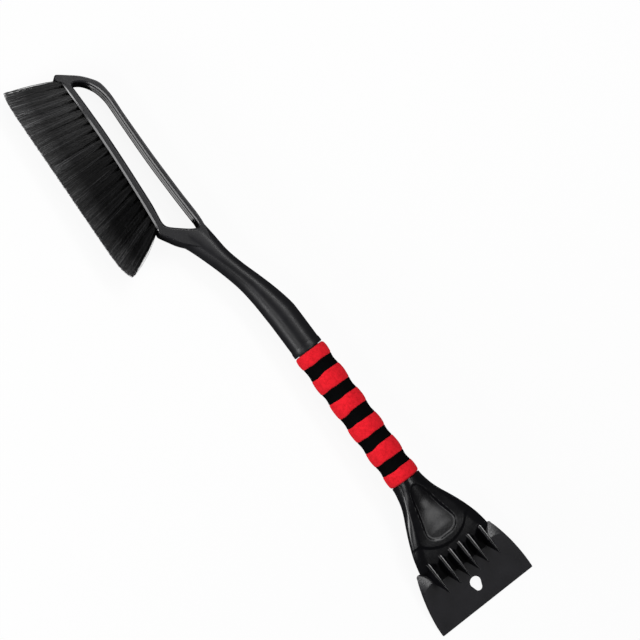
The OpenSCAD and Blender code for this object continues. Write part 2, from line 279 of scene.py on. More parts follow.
def shape(obj: Obj, cut: Cut, tools: Iterable[Obj]) -> Obj:
    """Takes tools away from a solid or adds them to it, and removes the tools.

    Args:
        obj: The solid to change.
        cut: Whether the tools are taken away or added.
        tools: The solids that do it.

    Returns:
        The same object with its new mesh.
    """
    for tool in tools:
        m = obj.modifiers.new("cut", "BOOLEAN")
        m.operation = cut.value
        m.solver = "EXACT"
        m.object = tool
        bake(obj)
        mesh = tool.data
        bpy.data.objects.remove(tool)
        bpy.data.meshes.remove(mesh)
    return obj


def dress(obj: Obj, finish: Material, replaces: str, sharp_deg: float) -> None:
    """Gives a finished piece its material, shading and place in the frame.

    Args:
        obj: The piece.
        finish: Its material.
        replaces: The CAD node that it stands for.
        sharp_deg: Edges that turn more than this stay sharp.
    """
    mesh = obj.data
    mesh.materials.clear()
    mesh.materials.append(finish)
    mesh.shade_smooth()
    mesh.set_sharp_from_angle(angle=math.radians(sharp_deg))
    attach(obj, "root")
    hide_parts(replaces)
    log.info("%s: %d faces", obj.name, len(mesh.polygons))


def store(mesh: bpy.types.Mesh, name: str, values: Sequence, domain: str = "POINT") -> None:
    """Stores numbers or vectors on a mesh's points or faces.

    Args:
        mesh: The mesh.
        name: The attribute's name.
        values: One number or vector for each.
        domain: POINT or FACE.
    """
    values = np.asarray(values, float)
    kind, key = ("FLOAT", "value") if values.ndim == 1 else ("FLOAT_VECTOR", "vector")
    mesh.attributes.new(name, kind, domain).data.foreach_set(key, values.ravel())


def corners(obj: Obj) -> np.ndarray:
    """Returns an object's vertices in the tool's frame."""
    points = np.empty(len(obj.data.vertices) * 3)
    obj.data.vertices.foreach_get("co", points)
    return LIE.from_row(points.reshape(-1, 3))


def soften(obj: Obj, width_mm: float, segments: int, angle_deg: float) -> None:
    """Rounds the edges of a solid, as a mould leaves them.

    Args:
        obj: The solid.
        width_mm: How far from the edge the rounding starts.
        segments: Its facets.
        angle_deg: Edges that turn more than this are rounded.
    """
    bm = bmesh.new()
    bm.from_mesh(obj.data)
    bmesh.ops.remove_doubles(bm, verts=bm.verts, dist=3e-6)
    bmesh.ops.dissolve_limit(bm, angle_limit=math.radians(0.4), verts=bm.verts, edges=bm.edges)
    bm.to_mesh(obj.data)
    bm.free()
    m = obj.modifiers.new("edges", "BEVEL")
    m.width = width_mm / 1000
    m.segments = segments
    m.limit_method = "ANGLE"
    m.angle_limit = math.radians(angle_deg)
    m.use_clamp_overlap = True
    bake(obj)


# ---- finishes


class Tree:
    """Adds nodes to a node tree and wires them up."""

    def __init__(self, tree: bpy.types.NodeTree) -> None:
        """Keeps the tree that the nodes go into."""
        self.tree = tree

    def feed(self, node: bpy.types.Node, inputs: dict) -> bpy.types.Node:
        """Links sockets to a node's inputs and sets the plain values.

        Args:
            node: The node.
            inputs: Sockets and values, by the input's name or number.

        Returns:
            The same node.
        """
        for key, value in inputs.items():
            if isinstance(value, Socket):
                self.tree.links.new(value, node.inputs[key])
            else:
                node.inputs[key].default_value = value
        return node

    def add(self, kind: str, inputs: dict, **values: object) -> bpy.types.Node:
        """Adds a node, sets its properties and feeds its inputs.

        Args:
            kind: Its type.
            inputs: Sockets and values, by the input's name or number.
            values: Its properties.

        Returns:
            The node.
        """
        node = self.tree.nodes.new(kind)
        for key, value in values.items():
            setattr(node, key, value)
        return self.feed(node, inputs)

    def get(self, kind: str, output: str | int, inputs: dict | None = None, **values: object) -> Socket:
        """Adds a node and returns one of its outputs."""
        return self.add(kind, inputs or {}, **values).outputs[output]

    def product(self, a: Socket, b: Socket | float) -> Socket:
        """Returns the product of two values."""
        return self.get("ShaderNodeMath", 0, {0: a, 1: b}, operation="MULTIPLY")


class Nodes(Tree):
    """Builds one material's node tree."""

    def __init__(self, name: str) -> None:
        """Starts an empty material with one Principled shader."""
        self.material = bpy.data.materials.new(name)
        self.material.use_nodes = True
        super().__init__(self.material.node_tree)
        self.tree.nodes.clear()
        self.shader = self.add("ShaderNodeBsdfPrincipled", {})
        self.out = self.add("ShaderNodeOutputMaterial", {"Surface": self.shader.outputs["BSDF"]})
        self.place = self.get("ShaderNodeTexCoord", "Object")

    def done(self, inputs: dict) -> Material:
        """Feeds the shader and returns the material."""
        self.feed(self.shader, inputs)
        return self.material

    def attribute(self, name: str) -> Socket:
        """Returns a mesh attribute's value."""
        return self.get("ShaderNodeAttribute", "Fac", attribute_name=name)

    def speckle(self, per_metre: float, detail: float = 2, rough: float = 0.5,
                place: Socket | None = None) -> Socket:
        """Returns noise with that many cells a metre."""
        return self.get("ShaderNodeTexNoise", "Fac", {
            "Scale": per_metre, "Detail": detail, "Roughness": rough, "Vector": place or self.place})

    def ramp(self, value: Socket, stops: Sequence[tuple[float, Colour]]) -> Socket:
        """Returns a colour that follows a value through the stops.

        Args:
            value: The value.
            stops: Places on the ramp and their colours.

        Returns:
            The colour.
        """
        node = self.add("ShaderNodeValToRGB", {"Fac": value})
        bar = node.color_ramp
        while len(bar.elements) < len(stops):
            bar.elements.new(0.5)
        for element, (at, colour) in zip(bar.elements, stops):
            element.position = at
            element.color = (*colour, 1)
        return node.outputs["Color"]

    def spread(self, value: Socket, low: float, high: float,
               from_low: float = 0.3, from_high: float = 0.7) -> Socket:
        """Returns a value mapped to the range low to high."""
        return self.get("ShaderNodeMapRange", "Result", {
            "Value": value, "From Min": from_low, "From Max": from_high, "To Min": low, "To Max": high})

    def bump(self, height: Socket, distance_mm: float, strength: float | Socket,
             over: Socket | None = None) -> Socket:
        """Returns a normal raised by a height, over another normal if given."""
        inputs = {"Height": height, "Distance": distance_mm / 1000, "Strength": strength}
        return self.get("ShaderNodeBump", "Normal", inputs | ({"Normal": over} if over else {}))


@dataclass(frozen=True)
class MouldedPlastic:
    """Injection-moulded plastic: fine spark-eroded grain, slow shade changes, polished edges."""

    name: str
    colour: Colour
    roughness: tuple[float, float]
    grain_mm: float
    grain_strength: float
    specular: float
    shades: tuple[float, float] = (0.8, 1.25)
    flow_strength: float = 0.08
    polished: float = 0.55
    coat_roughness: float = 0.2

    def build(self) -> Material:
        """Returns the material."""
        t = Nodes(self.name)
        dark, light = (tuple(c * k for c in self.colour) for k in self.shades)
        worn = t.attribute("polish")
        grain = t.bump(t.speckle(1000 / self.grain_mm, 1), 0.05, t.spread(worn, self.grain_strength, 0, 0, 1))
        rough = t.spread(t.speckle(140, 5, 0.6), *self.roughness)
        return t.done({
            "Base Color": t.ramp(t.speckle(55, 4), [(0.3, dark), (0.7, light)]),
            "Roughness": t.product(rough, t.spread(worn, 1, self.polished, 0, 1)),
            "Coat Weight": worn,
            "Normal": t.bump(t.speckle(45, 1), 0.3, t.spread(worn, self.flow_strength, 0, 0, 1), grain),
            "Specular IOR Level": self.specular,
            "Coat Roughness": self.coat_roughness,
        })


@dataclass(frozen=True)
class Foam:
    """Soft closed-cell foam: fine open pores, a mottled skin and no gloss."""

    name: str
    skin: Colour
    pore: Colour
    sheen: float
    cells_per_metre: float = 1150

    def build(self) -> Material:
        """Returns the material."""
        t = Nodes(self.name)
        cells = t.get("ShaderNodeTexVoronoi", "Distance", {"Scale": self.cells_per_metre, "Vector": t.place})
        fine, mottle = t.speckle(2600, 3, 0.7), t.speckle(330, 4, 0.65)
        mid = tuple((a + b) / 2 for a, b in zip(self.skin, self.pore))
        mix = t.product(fine, t.spread(mottle, 0.55, 1.35))
        pores = t.bump(cells, 0.25, 0.5)
        return t.done({
            "Base Color": t.ramp(mix, [(0.2, self.pore), (0.38, mid), (0.6, self.skin)]),
            "Normal": t.bump(mottle, 0.9, 0.35, t.bump(fine, 0.2, 0.5, pores)),
            "Roughness": 0.93,
            "Specular IOR Level": 0.04,
            "Sheen Weight": self.sheen,
            "Sheen Roughness": 0.5,
        })


@dataclass(frozen=True)
class Bristle:
    """Crimped plastic filament: darker at its root as painted shade, lighter at its tip partly as flagged
    ends and partly as painted light.
    """

    name: str
    root: Colour
    body: Colour
    tip: Colour
    tints: tuple = ((0.0, 0.25), (0.5, 0.9), (0.75, 2.2), (1.0, 5.0))

    def build(self) -> Material:
        """Returns the material."""
        t = Nodes(self.name)
        along = t.attribute("along")
        # The root stop is darker than the body as painted shade inside the tuft. The tip stop is lighter,
        # partly for flagged ends and partly as painted light on tips that lie in shade.
        base = t.ramp(along, [(0.0, self.root), (0.2, self.body), (0.66, self.body), (1.0, self.tip)])
        shade = t.ramp(t.attribute("tint"), [(at, (grey,) * 3) for at, grey in self.tints])
        return t.done({
            "Base Color": t.get("ShaderNodeMix", 2, {"Factor": 1, 6: base, 7: shade},
                                data_type="RGBA", blend_type="MULTIPLY"),
            "Roughness": t.spread(along, 0.42, 0.75, 0.6, 1.0),
            "Normal": t.bump(t.speckle(900, 2), 0.1, 0.3),
            "Specular IOR Level": 0.35,
        })


@dataclass(frozen=True)
class Metal:
    """Plain drawn metal with fine scratches along the grip."""

    name: str
    colour: Colour
    roughness: tuple[float, float]
    stretch: Colour = (1, 60, 60)

    def build(self) -> Material:
        """Returns the material."""
        t = Nodes(self.name)
        lengthwise = t.get("ShaderNodeMapping", "Vector", {"Scale": self.stretch, "Vector": t.place})
        streaks = t.speckle(30, 4, 0.7, lengthwise)
        dark = tuple(c * 0.8 for c in self.colour)
        return t.done({
            "Base Color": t.ramp(streaks, [(0.3, dark), (0.7, self.colour)]),
            "Roughness": t.spread(streaks, *self.roughness),
            "Normal": t.bump(streaks, 0.05, 0.2),
            "Metallic": 1,
        })


FRAME_PLASTIC = MouldedPlastic("frame_plastic", (0.0088, 0.0088, 0.0102), (0.33, 0.41), 0.55, 0.03, 0.25)
HEAD_PLASTIC = MouldedPlastic("head_plastic", (0.0022, 0.0022, 0.003), (0.2, 0.27), 0.5, 0.03, 0.34)
BLADE_PLASTIC = MouldedPlastic("blade_plastic", (0.0098, 0.0094, 0.0118), (0.34, 0.4), 0.5, 0.04, 0.42)
RED_FOAM = Foam("foam_red", (0.84, 0.015, 0.027), (0.5, 0.007, 0.013), 0.05)
BLACK_FOAM = Foam("foam_black", (0.0018, 0.0018, 0.002), (0.0006, 0.0006, 0.0007), 0.0)
# Root, body and tip colours: the dark root is painted shade, and the light tip is partly flagged ends and
# partly painted light.
BRISTLES = Bristle("bristle", (0.005, 0.005, 0.005), (0.012, 0.012, 0.0125), (0.06, 0.06, 0.061))
STEEL = Metal("steel", (0.6, 0.59, 0.57), (0.3, 0.45))
TUBE = Metal("tube", (0.7, 0.71, 0.73), (0.22, 0.34))


# ---- brush


def lip_y(x: float | np.ndarray) -> float | np.ndarray:
    """Returns the front edge of the bristle bar at x."""
    return -40.2 - np.maximum(np.asarray(x, float) + 345, 0) ** 2 / 2800


@dataclass
class BrushFrame:
    """The D-shaped frame, its neck and its collar: one black moulding."""

    half_depth: float = 12.5
    edge_r: float = 1.2
    lip_chamfer: tuple = (1.9, 1.0)
    window_edge: tuple = ((0, 1.05), (0.12, 0.84), (1.55, 0.08), (1.75, 0), (2.2, 0))
    seat_half: float = 10.75
    seat_depth: float = 0.8
    groove_z: float = 4.3
    groove_half: float = 2.7
    groove_steps: tuple = (-0.8, -0.55, -0.41, -0.4, 0, 0.4, 0.41, 0.55, 0.8)
    throat: tuple = (
        (-176, -44), (-170.8, -39.4), (-157.1, -22.6), (-155.2, -18.6), (-155.6, -14.9), (-158.6, -13),
        (-176, -13),
    )
    back: tuple = (
        (-141, -14, -158.5, -15.2), (-154, -10.8, -162.5, -14.6), (-168, -9.6, -168, -14.8),
        (-190, -10.1, -190, -15.3), (-214, -10.3, -214, -15.5), (-238, -10.3, -238, -15.4),
        (-262, -9.8, -262, -14.7), (-286, -9.1, -286, -13.8), (-300, -8.3, -299, -13.2),
        (-311, -8.2, -309, -13.2), (-323.5, -10, -319, -15), (-332.5, -15.6, -326.5, -18.3),
        (-340, -22.4, -332.5, -22.6), (-346.5, -30.5, -336, -27), (-352.6, -38.6, -337.5, -30.6),
        (-353.4, -41, -337, -32.4), (-351.6, -43.2, -335.6, -33.3), (-348.6, -43, -333.6, -33.6),
    )
    front: tuple = (
        (-345.6, -331, -33.6), (-332, -323, -33.6), (-310, -304, -33.8), (-285, -285, -34.2),
        (-262, -262, -35.3), (-238, -238, -36.8), (-218, -219, -38.2), (-200, -200, -39.7),
        (-188, -188, -41.4), (-178, -181.5, -42.3),
    )
    web: tuple = (
        (-174.2, -50.8, -177.6, -42), (-171.6, -50.4, -174.4, -40.6), (-163, -45.6, -171, -37.3),
        (-154, -40, -166.5, -32), (-143, -30, -161, -25.2), (-137, -22, -158, -20.4),
        (-137, -17, -157, -17.2),
    )
    neck: tuple = (
        (-172, -27.5, 15.5, 10.5, 3), (-160, -26, 16.6, 12.4, 3), (-144, -21.4, 13.8, 12.9, 2.7),
        (-124, -17, 11.3, 12.9, 2.3), (-105, -11.9, 10.8, 12.9, 2.1), (-86, -6.7, 11.7, 13.2, 2),
        (-67, -2.9, 13.4, 14, 2), (-48, -0.5, 15, 15, 2), (-36, 0, 15.2, 15.2, 2), (-5, 0, 15.2, 15.2, 2),
    )
    collar: tuple = (
        (-9, 14), (-7.2, 15.24), (-6.8, 15.28), (-6.2, 15.42), (-5.6, 15.62), (-5.0, 15.72),
        (-1.2, 15.75), (-0.8, 15.62), (-0.5, 15.3),
    )
    lit_lip: tuple = (-347, -176)
    lit_wall: tuple = (-346, -157)

    def bar_rows(self) -> np.ndarray:
        """Returns outer edge, window edge and depth of the seat, all round the bar."""
        front = [(x, float(lip_y(x)), wx, wy, 1.0) for x, wx, wy in self.front]
        rows = [(*r, 0.0) for r in self.back] + front + [(*r, 0.0) for r in self.web]
        return smooth(rows, 6, closed=True)

    def section(self, row: np.ndarray) -> np.ndarray:
        """Draws the bar's section at one row.

        Args:
            row: Outer x and y, window x and y, and how far the bristle seat is formed.

        Returns:
            The section's points in the tool's frame.
        """
        outer, across = row[:2], row[2:4] - row[:2]
        length = float(np.hypot(*across))
        e = across / length
        h, r = self.half_depth, self.edge_r
        seat = float(np.clip(row[4], 0, 1))
        groove = max(0.0, float(np.dot((-1.0, 1.5), -e)))
        points = arc((length - r, r - h), r, -90, 0, 4)
        for mid in (-self.groove_z, self.groove_z):
            for side in (-1, 1):
                edge = mid + side * self.groove_half
                for k in self.groove_steps:
                    deep = np.clip(0.5 + k / 0.8, 0, 1) if side < 0 else ease(-0.5, 0.5, -k)
                    points.append((length - groove * float(deep), edge + k))
        points += [(length - s, h - t) for s, t in self.window_edge]
        wide, tall = self.lip_chamfer
        wide, tall = r + seat * (wide - r), r + seat * (tall - r)
        curve = np.array([(wide * (1 + a), h - tall * (1 - b)) for a, b in arc((0, 0), 1, 90, 180, 4)])
        flat = np.array([(wide * (1 - k), h - tall * k) for k in (0, 0.06, 0.5, 0.94, 1)])
        corner = curve + seat * (flat - curve)
        points.append((wide + 0.4, h))
        points += [tuple(p) for p in corner]
        for side in (1, -1):
            for k in np.linspace(0.25, -0.25, 4):
                depth = self.seat_depth * seat * float(ease(-0.2, 0.2, -side * k))
                points.append((depth, side * self.seat_half + k))
        points += [(s, -z) for s, z in corner[::-1]]
        points += [(wide + 0.4, -h), (length - r - 0.4, -h)]
        return np.array([(*(outer + e * s), z) for s, z in points])

    def neck_ring(self, row: np.ndarray, count: int = 72) -> np.ndarray:
        """Returns one section of the neck, a superellipse about its own middle.

        Args:
            row: Place, offset, half width, half height and squareness.
            count: Its points.

        Returns:
            Its points in the tool's frame.
        """
        x, y, w, h, square = row
        a = np.linspace(0, 2 * math.pi, count, endpoint=False)
        c, s = np.cos(a), np.sin(a)
        return np.c_[np.full(count, x), y + w * np.sign(c) * np.abs(c) ** (2 / square),
                     h * np.sign(s) * np.abs(s) ** (2 / square)]

    def build(self, finish: Material) -> None:
        """Makes the frame and dresses it.

        Args:
            finish: The frame's plastic.
        """
        sections = np.array([self.section(r) for r in self.bar_rows()])
        body = loft("brush_frame_shell", sections, closed=True)
        neck = loft("neck", np.array([self.neck_ring(r) for r in smooth(self.neck, 8)]))
        shape(neck, Cut.TAKE, [prism("throat", [np.array(self.throat)], -25, 25)])
        collar = revolve("collar", [(-9, POLE_R), *self.collar, (-0.5, CORE_R), (0, CORE_R), (0, SPIGOT_R),
                                    (29.4, SPIGOT_R), (SPIGOT_LEN, 9.2), (SPIGOT_LEN, POLE_R)])
        pin_way = prism("pin_way", [circle(PIN_INSET, 0, PIN_BORE_R)], -17, 17)
        shape(body, Cut.ADD, [neck, collar])
        shape(body, Cut.TAKE, [pin_way])
        store(body.data, "polish", self.glossy(*corners(body).T))
        dress(body, finish, "brush_frame", 30)

    def glossy(self, x: np.ndarray, y: np.ndarray, z: np.ndarray) -> np.ndarray:
        """Finds the lip of the bristle bar and the ledges of the window's wall.

        Args:
            x: Places along the tool.
            y: Places across it.
            z: Heights.

        Returns:
            How glossy the plastic is at those places, from 0 to 1.
        """
        wide, tall = self.lip_chamfer
        top = self.half_depth
        lip = (z > top - tall - 0.02) & (z < top - 0.03) & (y < lip_y(x) + wide + 0.2)
        lip &= (x > self.lit_lip[0]) & (x < self.lit_lip[1])
        ledge = np.abs(z - top + 0.46) < 0.4
        for mid in (-self.groove_z, self.groove_z):
            ledge |= np.abs(z - mid + self.groove_half) < 0.405
        ledge &= (x > self.lit_wall[0]) & (x < self.lit_wall[1]) & (y < -9) & (y > lip_y(x) + 4)
        return lip * np.clip((x + 352) / 40, 0.2, 1) + ledge


@dataclass
class BristleRow:
    """One row of tufts on its backing strip: filaments grown by geometry nodes."""

    row: int
    tufts: int = 20
    pitch: float = 8.5
    stagger: float = 1.9
    strands: int = 150
    root_r: tuple = (2.6, 1.8)
    radius_mm: float = 0.17
    taper: float = 0.6
    sides: int = 3
    joints: int = 5
    tip_span: tuple = (-367.4, -156.0)
    fan_x: float = -264.5
    fan: float = 1.24
    fan_half: float = 104
    corner_mm: tuple = (2.2, 3.4)
    lean_mm: float = 0.5
    uneven_mm: float = 1.7
    row_drop: float = 0.8
    tip_y: float = -97.4
    tip_slope: float = -0.042
    tip_z: tuple = (-11.9, 12.4)
    bow_m: float = 0.0009
    golden_turn: float = 2.39996
    bar: tuple = (-347.0, -177.0)

    @property
    def z(self) -> float:
        """Height of the row."""
        return (self.row - 2.5) * ROW_GAP

    def seeds(self) -> Obj:
        """Makes the points that the filaments grow from, with where each one reaches.

        Returns:
            An object of loose points with the attributes reach, bow and tint.
        """
        rng = np.random.default_rng(40 + self.row)
        roots, tips, tints = [], [], []
        for tuft in range(self.tufts):
            x = sum(self.bar) / 2 + self.pitch * (tuft - (self.tufts - 1) / 2)
            x += self.stagger if self.row % 2 else -self.stagger
            lean = rng.normal(0, self.lean_mm, 2)
            tone = rng.uniform(-0.05, 0.05)
            for k in range(self.strands):
                r = math.sqrt((k + 0.5) / self.strands)
                a = k * self.golden_turn + rng.normal(0, 0.15)
                ox, oz = r * math.cos(a), r * math.sin(a)
                root_y = float(lip_y(x)) + 1.2
                roots.append((x + ox * self.root_r[0], root_y, self.z + oz * self.root_r[1]))
                tip_x = self.fan_x + self.fan * (x + ox * self.pitch * 0.5 - self.fan_x) + lean[0]
                tip_x = float(np.clip(tip_x + rng.normal(0, 0.55), *self.tip_span))
                tip_x += abs(rng.normal(0, 0.5)) * (1 if tip_x < self.fan_x else -1)
                out = (tip_x - self.fan_x) / self.fan_half
                corner = self.corner_mm[out > 0] * min(abs(out), 1.06) ** 12
                tip_y = self.tip_y + self.tip_slope * (tip_x - self.fan_x) + corner
                tip_y += abs(rng.normal(0, self.uneven_mm))
                tip_y += self.row_drop * (4 - self.row)
                tip_z = self.z * 1.05 + oz * 2.6 + lean[1] * 0.6 + rng.normal(0, 0.3)
                tips.append((tip_x, tip_y, float(np.clip(tip_z, *self.tip_z))))
                streak = noise.noise(Vector((tip_x * 2.1, oz * 1.6, self.row * 7.3)))
                tints.append(float(np.clip(0.42 + tone + 0.8 * streak + rng.normal(0, 0.14), 0, 1)))
        roots, tips = LIE.to_row(np.array(roots)), LIE.to_row(np.array(tips))
        mesh = bpy.data.meshes.new(f"seeds_{self.row}")
        mesh.from_pydata([tuple(p) for p in roots], [], [])
        bows = rng.normal(0, self.bow_m, (len(roots), 3)) * (1, 0.2, 1)
        for name, values in (("reach", tips - roots), ("bow", bows), ("tint", tints)):
            store(mesh, name, values)
        return linked(f"bristle_row_{self.row}_strands", mesh)

    @staticmethod
    def tree() -> bpy.types.NodeTree:
        """Builds the geometry nodes that grow a filament from each seed.

        Returns:
            The node group, with named inputs for its sizes and material.
        """
        made = bpy.data.node_groups.get("grow_bristles")
        if made:
            return made
        g = bpy.data.node_groups.new("grow_bristles", "GeometryNodeTree")
        for name, kind in (("Geometry", "Geometry"), ("Strand radius", "Float"), ("Tip taper", "Float"),
                           ("Sides", "Int"), ("Joints", "Int"), ("Finish", "Material")):
            g.interface.new_socket(name, in_out="INPUT", socket_type="NodeSocket" + kind)
        g.interface.new_socket("Geometry", in_out="OUTPUT", socket_type="NodeSocketGeometry")
        t = Tree(g)
        given = t.add("NodeGroupInput", {}).outputs

        def named(name: str, kind: str) -> Socket:
            """Returns a named attribute's value."""
            return t.get("GeometryNodeInputNamedAttribute", "Attribute", {"Name": name}, data_type=kind)

        # One strand, from 0 to 1 along z
        line = t.get("GeometryNodeCurvePrimitiveLine", "Curve", {"End": (0, 0, 1)})
        line = t.get("GeometryNodeResampleCurve", "Curve", {"Curve": line, "Count": given["Joints"]})
        part = t.get("GeometryNodeSplineParameter", "Factor")
        line = t.get("GeometryNodeStoreNamedAttribute", "Geometry",
                     {"Geometry": line, "Name": "along", "Value": part}, data_type="FLOAT", domain="POINT")
        taper = t.get("ShaderNodeMapRange", "Result", {
            "Value": part, "From Min": 0.55, "To Min": 1, "To Max": given["Tip taper"]})
        line = t.get("GeometryNodeSetCurveRadius", "Curve", {"Curve": line, "Radius": taper})
        ring = t.get("GeometryNodeCurvePrimitiveCircle", "Curve", {
            "Resolution": given["Sides"], "Radius": given["Strand radius"]})
        strand = t.add("GeometryNodeCurveToMesh", {
            "Curve": line, "Profile Curve": ring, "Fill Caps": True})
        if "Scale" in strand.inputs:
            t.feed(strand, {"Scale": taper})

        # A strand on each seed, as long as its reach
        reach = named("reach", "FLOAT_VECTOR")
        length = t.get("ShaderNodeVectorMath", "Value", {0: reach}, operation="LENGTH")
        planted = t.get("GeometryNodeInstanceOnPoints", "Instances", {
            "Points": given["Geometry"],
            "Instance": strand.outputs["Mesh"],
            "Rotation": t.get("FunctionNodeAlignRotationToVector", "Rotation", {"Vector": reach}, axis="Z"),
            "Scale": t.get("ShaderNodeCombineXYZ", "Vector", {"X": 1, "Y": 1, "Z": length})})
        real = t.get("GeometryNodeRealizeInstances", "Geometry", {"Geometry": planted})

        # Each strand bows most at its middle
        along = named("along", "FLOAT")
        rest = t.get("ShaderNodeMath", 0, {0: 1, 1: along}, operation="SUBTRACT")
        strength = t.product(t.product(along, rest), 4)
        bend = t.get("ShaderNodeVectorMath", "Vector",
                     {0: named("bow", "FLOAT_VECTOR"), "Scale": strength}, operation="SCALE")
        moved = t.get("GeometryNodeSetPosition", "Geometry", {"Geometry": real, "Offset": bend})
        painted = t.get("GeometryNodeSetMaterial", "Geometry", {
            "Geometry": moved, "Material": given["Finish"]})
        t.add("NodeGroupOutput", {"Geometry": painted})
        return g

    def grow(self, seeds: Obj, finish: Material) -> None:
        """Runs the geometry nodes on the seeds and keeps the plain mesh.

        Args:
            seeds: The object of loose points.
            finish: The filaments' plastic.
        """
        m = seeds.modifiers.new("grow", "NODES")
        m.node_group = self.tree()
        values = {"Strand radius": self.radius_mm / 1000, "Tip taper": self.taper, "Sides": self.sides,
                  "Joints": self.joints, "Finish": finish}
        for item in m.node_group.interface.items_tree:
            if item.in_out == "INPUT" and item.name in values:
                m[item.identifier] = values[item.name]
        bake(seeds)

    def build(self, finish: Material) -> None:
        """Makes the row with its strip and dresses it.

        Args:
            finish: The filaments' plastic.
        """
        seeds = self.seeds()
        self.grow(seeds, finish)
        xs = np.linspace(self.bar[0] + 0.05, self.bar[1] - 0.05, 41)
        outline = np.r_[np.c_[xs, lip_y(xs) + 0.8], np.c_[xs[::-1], lip_y(xs[::-1]) + 3.75]]
        half = 2.4 if self.row in (2, 3) else 1.75
        strip = prism(f"strip_{self.row}", [outline], self.z - half, self.z + half)
        # The strip keeps along and tint at 0, so it takes the root's painted shade at the darkest tint.
        for name in ("along", "tint"):
            strip.data.attributes.new(name, "FLOAT", "POINT")
        strip.data.materials.append(finish)
        bm = bmesh.new()
        bm.from_mesh(seeds.data)
        bm.from_mesh(strip.data)
        bm.to_mesh(seeds.data)
        bm.free()
        bpy.data.objects.remove(strip)
        dress(seeds, finish, f"bristle_row_{self.row}", 80)


# ---- grip


@dataclass
class FoamGrip:
    """Eleven foam rings threaded on the tube, red bulges between black waists."""

    end_len: float = 13.7
    red_len: float = 16.4
    black_len: float = 12.3
    bulge_r: float = 16.7
    waist_r: float = 15.1
    bore_r: float = 11.05
    steps: int = 120
    gap: float = 0.03
    count: int = 11
    stray: tuple = ((1, 0.4), (2, 0.35), (3, 0.3), (5, 0.2), (8, 0.1))
    lips: tuple = (0.35, 0.55)
    end_round: float = 1.2
    end_reach: float = 2.6
    skin_mm: float = 0.16

    def edges(self) -> list[float]:
        """Returns where the rings meet, from the brush end."""
        lengths = [self.end_len] + [self.black_len, self.red_len] * 4 + [self.black_len, self.end_len]
        return [0.0, *np.cumsum(lengths)]

    def wander(self, edge: int, angle: np.ndarray) -> np.ndarray:
        """Returns how far the seam between two rings strays round the grip.

        Args:
            edge: The seam's number.
            angle: Angles round the grip.

        Returns:
            Shifts along the grip, in millimetres.
        """
        if edge in (0, self.count):
            return np.zeros_like(angle)
        return sum(amount * np.sin(k * angle + edge * 2.1 * k) for k, amount in self.stray)

    def ring(self, i: int, finish: Material) -> None:
        """Makes one ring.

        Args:
            i: Its number, counted from 0 at the brush end.
            finish: Its foam.
        """
        edges = self.edges()
        x0, x1 = edges[i] + self.gap, edges[i + 1] - self.gap
        seam_r = (self.bulge_r + self.waist_r) / 2
        red = i % 2 == 0
        a = np.linspace(0, 2 * math.pi, self.steps, endpoint=False)
        rings = []
        swell = (self.bulge_r if red else self.waist_r) - seam_r
        for u in np.r_[0, 0.008, 0.02, 0.05, np.linspace(0.1, 0.9, 17), 0.95, 0.98, 0.992, 1]:
            bow = math.sin(math.pi * u) ** (0.8 if red else 0.9)
            r = seam_r + swell * bow
            near = min(u, 1 - u) * (x1 - x0)
            r -= self.lips[red] * math.exp(-((near / 0.45) ** 1.5))
            if i in (0, self.count - 1):
                out = (1 - u if i == 0 else u) * (x1 - x0)
                past = (out - (x1 - x0 - self.end_reach)) / self.end_reach
                r -= self.end_round * max(0.0, past) ** 2.4
            x = x0 + (x1 - x0) * u + (1 - u) * self.wander(i, a) + u * self.wander(i + 1, a)
            skin = np.array([noise.noise(Vector((px * 0.16, 3.2 * math.cos(t), 3.2 * math.sin(t) + i)))
                             for px, t in zip(x, a)])
            rr = r + self.skin_mm * skin
            rings.append(np.c_[x, rr * np.cos(a), rr * np.sin(a)])
        bore = np.c_[self.bore_r * np.cos(a), self.bore_r * np.sin(a)]
        inner = [np.c_[np.full(self.steps, x), bore] for x in (x1, x0)]
        obj = loft(f"foam_ring_{i + 1}_foam", np.array(rings + inner), closed=True)
        dress(obj, finish, f"foam_ring_{i + 1}", 50)

    def build(self, red: Material, black: Material) -> None:
        """Makes all eleven rings."""
        for i in range(self.count):
            self.ring(i, black if i % 2 else red)


# ---- scraper


